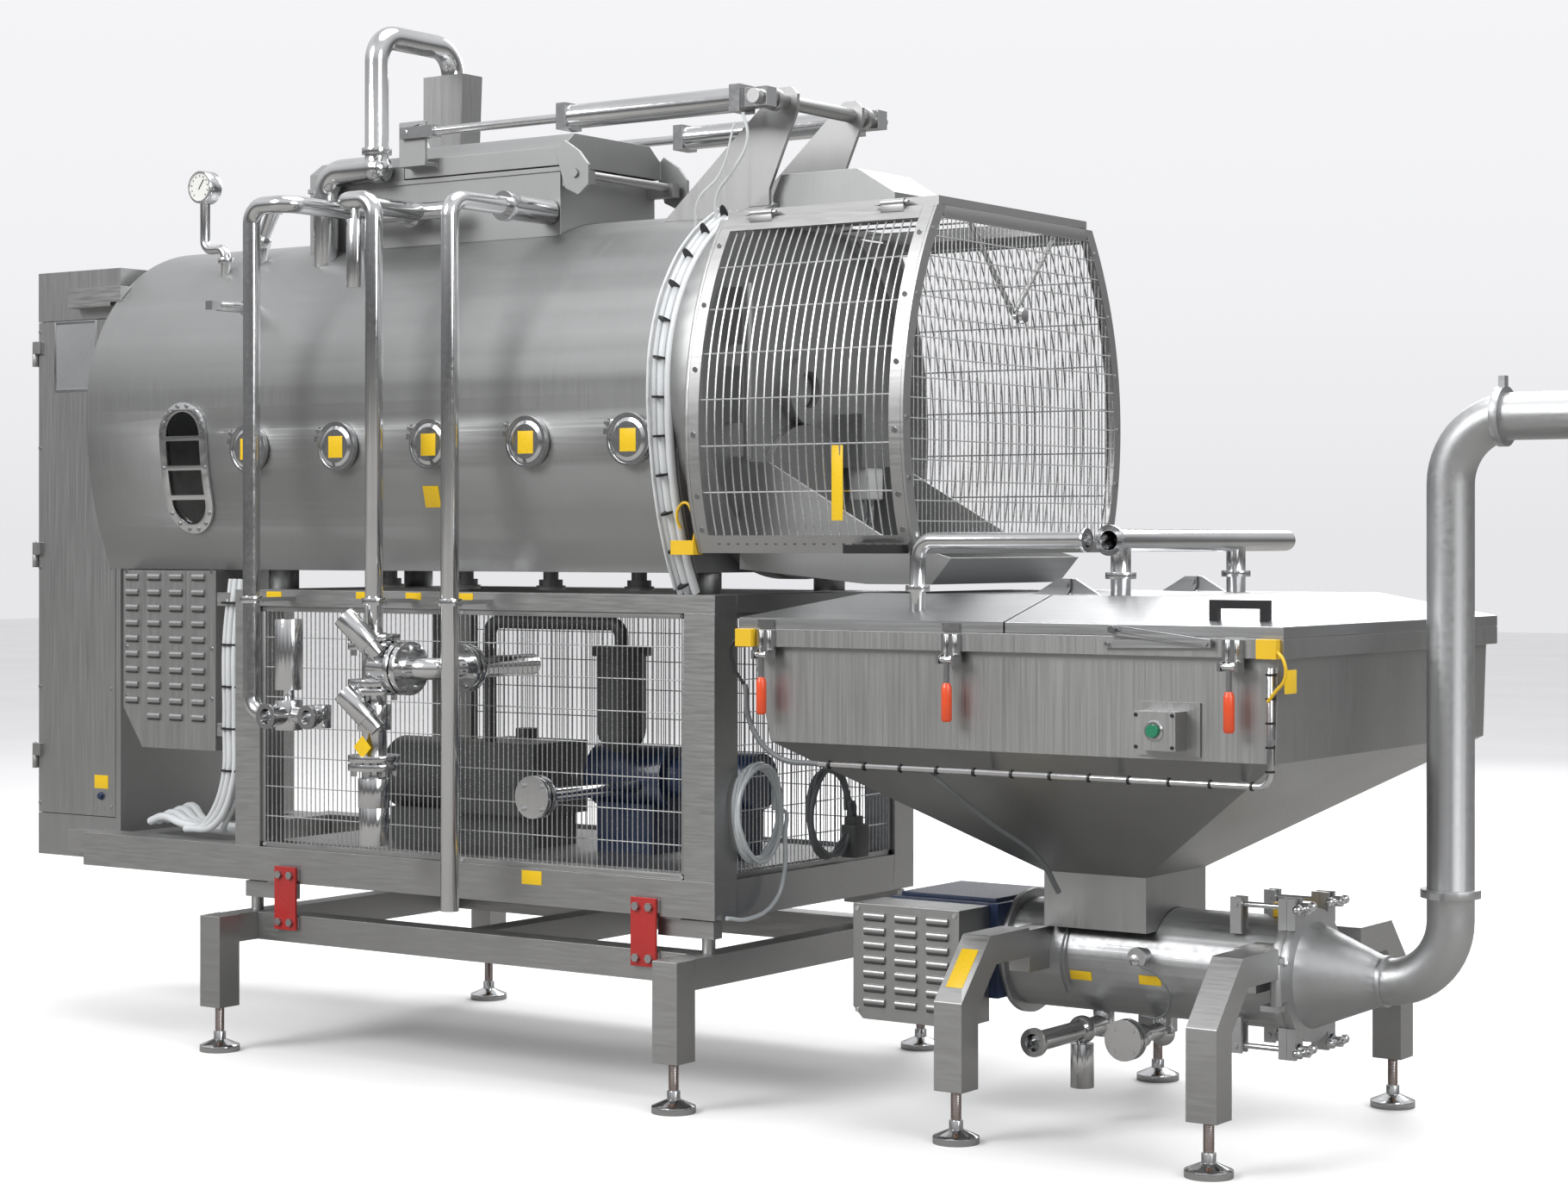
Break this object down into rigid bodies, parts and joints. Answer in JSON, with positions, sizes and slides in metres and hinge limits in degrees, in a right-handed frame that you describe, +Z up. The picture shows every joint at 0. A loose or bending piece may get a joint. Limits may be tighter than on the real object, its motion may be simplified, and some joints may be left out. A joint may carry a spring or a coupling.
{
  "type": "vacuum steam cooker with hopper pump",
  "caption": "Jacketed horizontal vacuum cooking vessel with paddle shaft, powered lid, guarded discharge door and control cabinet on load cells, beside a hopper pump with a bent riser.",
  "frame": {"origin": "floor point under the centre of the whole object's bounding box", "axes": "+Z up; +X along the vessel from the control cabinet towards the discharge end and the hopper pump; -Y is the working side with the sight window, the port covers and the pipes"},
  "size_m": [5.072, 1.4325, 3.01],
  "materials": {
    "satin_steel": "satin brushed sheet",
    "frame_steel": "satin brushed tube",
    "polished_steel": "polished pipe and turned parts",
    "glass": "thick sight glass",
    "red_paint": "gloss paint",
    "white_hose": "smooth hose",
    "yellow_plastic": "moulded",
    "orange_plastic": "moulded",
    "green_plastic": "moulded",
    "black_plastic": "moulded",
    "blue_paint": "satin paint",
    "grey_paint": "satin paint"
  },
  "bodies": {
    "machine": {"base_frame": "frame_steel", "levelling_feet": "polished_steel", "load_cells": "frame_steel", "transport_brackets": "red_paint", "machine_frame": "frame_steel", "mesh_panels": "frame_steel", "vessel_shell": "satin_steel", "end_plate": "satin_steel", "vessel_supports": "satin_steel", "discharge_chute": "satin_steel", "feed_neck": "satin_steel", "lid_supports": "satin_steel", "port_covers": "polished_steel", "window_frame": "polished_steel", "window_glass": "glass", "steam_pipes": "polished_steel", "valve_stack": "polished_steel", "vent_pipe": "polished_steel", "control_cabinet": "satin_steel", "drive_cover": "satin_steel", "vacuum_pump": "grey_paint", "motors": "blue_paint", "hose_bundle": "white_hose", "guard_frame": "frame_steel", "guard_meshes": "frame_steel", "pump_legs": "frame_steel", "pump_housing": "satin_steel", "pump_drive_cover": "satin_steel", "hopper_body": "satin_steel", "hopper_lid": "satin_steel", "unit_fittings": "polished_steel", "outlet_pipe": "polished_steel", "drain_valves": "polished_steel", "button_box": "satin_steel", "interlocks": "yellow_plastic"},
    "mixer": {"mixer_shaft": "polished_steel"},
    "auger": {"pump_auger": "polished_steel"},
    "door": {"discharge_door": "satin_steel"},
    "hatch": {"hatch_lid": "satin_steel"},
    "barrels": {"cylinder_barrels": "polished_steel"},
    "rods": {"cylinder_rods": "polished_steel"},
    "guard": {"guard_panel": "frame_steel", "guard_handle": "satin_steel"},
    "cabinet_door": {"cabinet_door": "satin_steel"},
    "flap": {"hopper_flap": "satin_steel", "lid_handle": "black_plastic", "header_pipe": "polished_steel"},
    "stay_foot": {"stay_lower": "satin_steel"},
    "stay_head": {"stay_upper": "satin_steel"},
    "latch_1": {"latch_1": "polished_steel", "latch_grip_1": "orange_plastic"},
    "latch_2": {"latch_2": "polished_steel", "latch_grip_2": "orange_plastic"},
    "latch_3": {"latch_3": "polished_steel", "latch_grip_3": "orange_plastic"},
    "button": {"green_button": "green_plastic"},
    "bolt_1": {"swing_bolt_1": "polished_steel"},
    "bolt_2": {"swing_bolt_2": "polished_steel"},
    "bolt_3": {"swing_bolt_3": "polished_steel"},
    "bolt_4": {"swing_bolt_4": "polished_steel"}
  },
  "joints": [
    {"name": "mixer_spin", "type": "hinge", "parent": "machine", "child": "mixer", "pos_m": [-1, 0.05835, 1.9], "axis": [1, 0, 0], "continuous": true},
    {"name": "auger_spin", "type": "hinge", "parent": "machine", "child": "auger", "pos_m": [1.3, 0.07235, 0.41], "axis": [1, 0, 0], "continuous": true},
    {"name": "discharge_hinge", "type": "hinge", "parent": "machine", "child": "door", "pos_m": [0.237, -0.19165, 1.612], "axis": [0, 0, -1], "range_deg": [0, 80]},
    {"name": "hatch_hinge", "type": "hinge", "parent": "machine", "child": "hatch", "pos_m": [-0.4, 0.05835, 2.52], "axis": [0, 1, 0], "range_deg": [0, 60]},
    {"name": "cylinder_swing", "type": "hinge", "parent": "machine", "child": "barrels", "pos_m": [0.27, 0.05835, 2.672], "axis": [0, 1, 0], "range_deg": [0, 27.9]},
    {"name": "rod_slide", "type": "slide", "parent": "barrels", "child": "rods", "axis": [1, 0, 0], "range_m": [0, 0.3225]},
    {"name": "guard_hinge", "type": "hinge", "parent": "machine", "child": "guard", "pos_m": [0.56, -0.34365, 2.345], "axis": [-1, 0, 0], "range_deg": [0, 80]},
    {"name": "cabinet_hinge", "type": "hinge", "parent": "machine", "child": "cabinet_door", "pos_m": [-2.528, -0.28265, 1.4], "axis": [0, 0, -1], "range_deg": [0, 110]},
    {"name": "flap_hinge", "type": "hinge", "parent": "machine", "child": "flap", "pos_m": [1.222, 0.07235, 1.376], "axis": [0, -1, 0], "range_deg": [0, 40]},
    {"name": "stay_swing", "type": "hinge", "parent": "machine", "child": "stay_foot", "pos_m": [1.518, -0.57865, 1.243], "axis": [0, -1, 0], "range_deg": [0, 31.3]},
    {"name": "stay_fold", "type": "hinge", "parent": "stay_foot", "child": "stay_head", "pos_m": [1.775, -0.57865, 1.248], "axis": [0, -1, 0], "range_deg": [-54.3, 0]},
    {"name": "latch_1_swing", "type": "hinge", "parent": "machine", "child": "latch_1", "pos_m": [0.535, -0.59165, 1.196], "axis": [-1, 0, 0], "range_deg": [0, 100]},
    {"name": "latch_2_swing", "type": "hinge", "parent": "machine", "child": "latch_2", "pos_m": [1.084, -0.59165, 1.196], "axis": [-1, 0, 0], "range_deg": [0, 100]},
    {"name": "latch_3_swing", "type": "hinge", "parent": "machine", "child": "latch_3", "pos_m": [1.838, -0.59165, 1.196], "axis": [-1, 0, 0], "range_deg": [0, 100]},
    {"name": "green_button_press", "type": "slide", "parent": "machine", "child": "button", "axis": [0, 1, 0], "range_m": [0, 0.004], "stiffness_N_per_m": 400, "springref_m": -0.003},
    {"name": "swing_bolt_1_hinge", "type": "hinge", "parent": "machine", "child": "bolt_1", "pos_m": [1.583, -0.02265, 0.235], "axis": [0, 1, 0], "range_deg": [0, 60]},
    {"name": "swing_bolt_2_hinge", "type": "hinge", "parent": "machine", "child": "bolt_2", "pos_m": [1.583, -0.02265, 0.585], "axis": [0, -1, 0], "range_deg": [0, 60]},
    {"name": "swing_bolt_3_hinge", "type": "hinge", "parent": "machine", "child": "bolt_3", "pos_m": [1.583, 0.16735, 0.235], "axis": [0, 1, 0], "range_deg": [0, 60]},
    {"name": "swing_bolt_4_hinge", "type": "hinge", "parent": "machine", "child": "bolt_4", "pos_m": [1.583, 0.16735, 0.585], "axis": [0, -1, 0], "range_deg": [0, 60]}
  ],
  "couplings": [
    {"joint": "cylinder_swing", "follows": "hatch_hinge", "ratio": 0.46207},
    {"joint": "rod_slide", "follows": "hatch_hinge", "m_per_rad": 0.30628},
    {"joint": "stay_swing", "follows": "flap_hinge", "ratio": 0.77872},
    {"joint": "stay_fold", "follows": "flap_hinge", "ratio": -1.3512}
  ]
}
